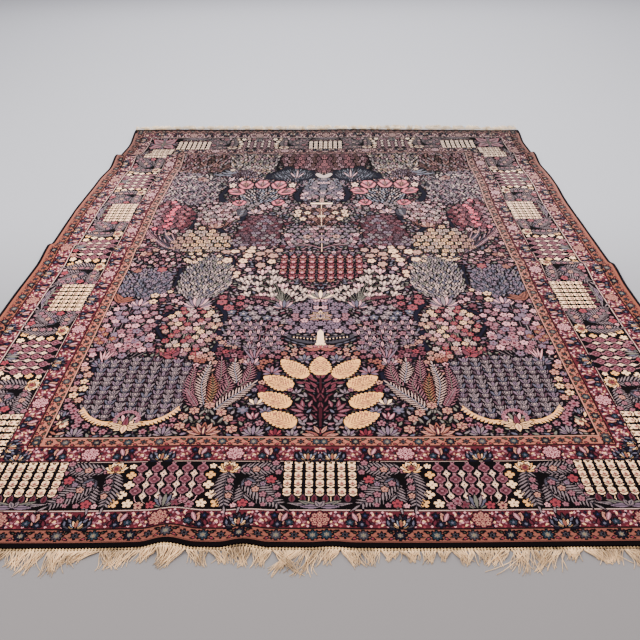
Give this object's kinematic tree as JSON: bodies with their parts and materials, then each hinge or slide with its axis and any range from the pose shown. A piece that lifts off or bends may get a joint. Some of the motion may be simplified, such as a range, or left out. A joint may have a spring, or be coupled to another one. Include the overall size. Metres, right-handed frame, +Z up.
{
  "type": "persian rug",
  "caption": "Hand-knotted wool carpet with a dense garden pattern, wide floral border, overcast sides and cotton fringe at both ends, lying with low folds.",
  "frame": {"origin": "on the floor under the middle of the rug", "axes": "+Z up from the floor, +Y along the rug's length towards its far end, +X across its width"},
  "size_m": [2.766, 3.8286, 0.0419],
  "materials": {
    "pile": "short wool pile",
    "binding": "overcast wool",
    "fringe": "twisted cotton"
  },
  "bodies": {
    "root": {"carpet": "pile", "binding_left": "binding", "binding_right": "binding", "fringe_near": "fringe", "fringe_far": "fringe"}
  },
  "joints": []
}
